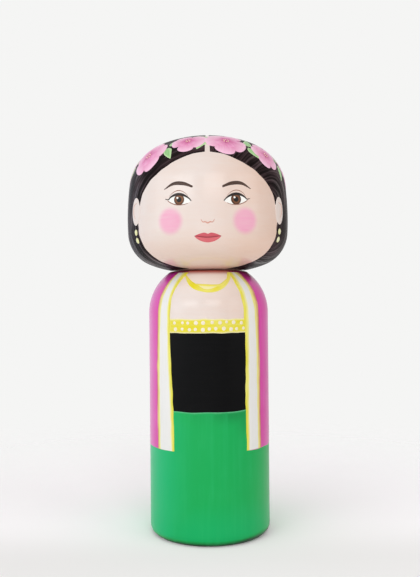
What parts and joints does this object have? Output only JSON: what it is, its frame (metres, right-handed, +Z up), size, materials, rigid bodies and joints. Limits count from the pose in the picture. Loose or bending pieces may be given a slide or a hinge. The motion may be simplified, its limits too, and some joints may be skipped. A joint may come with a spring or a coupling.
{
  "type": "peg doll",
  "caption": "Turned wooden peg doll with a wide low-domed head on a cylindrical trunk with rounded shoulders, painted and varnished; the head turns on a dowel.",
  "frame": {"origin": "middle of the flat base, on the turning axis", "axes": "+Z up along the turning axis, the painted front towards -Y"},
  "size_m": [0.059, 0.059, 0.145],
  "materials": {
    "painted_trunk": "hand-painted under a satin varnish",
    "painted_head": "hand-painted under a satin varnish",
    "bare_wood": "bare, turned"
  },
  "bodies": {
    "doll_body": {"body": "painted_trunk", "neck_peg": "bare_wood"},
    "doll_head": {"head": "painted_head"}
  },
  "joints": [
    {"name": "head_turn", "type": "hinge", "parent": "doll_body", "child": "doll_head", "pos_m": [0, 0, 0.0953], "axis": [0, 0, 1], "continuous": true}
  ]
}
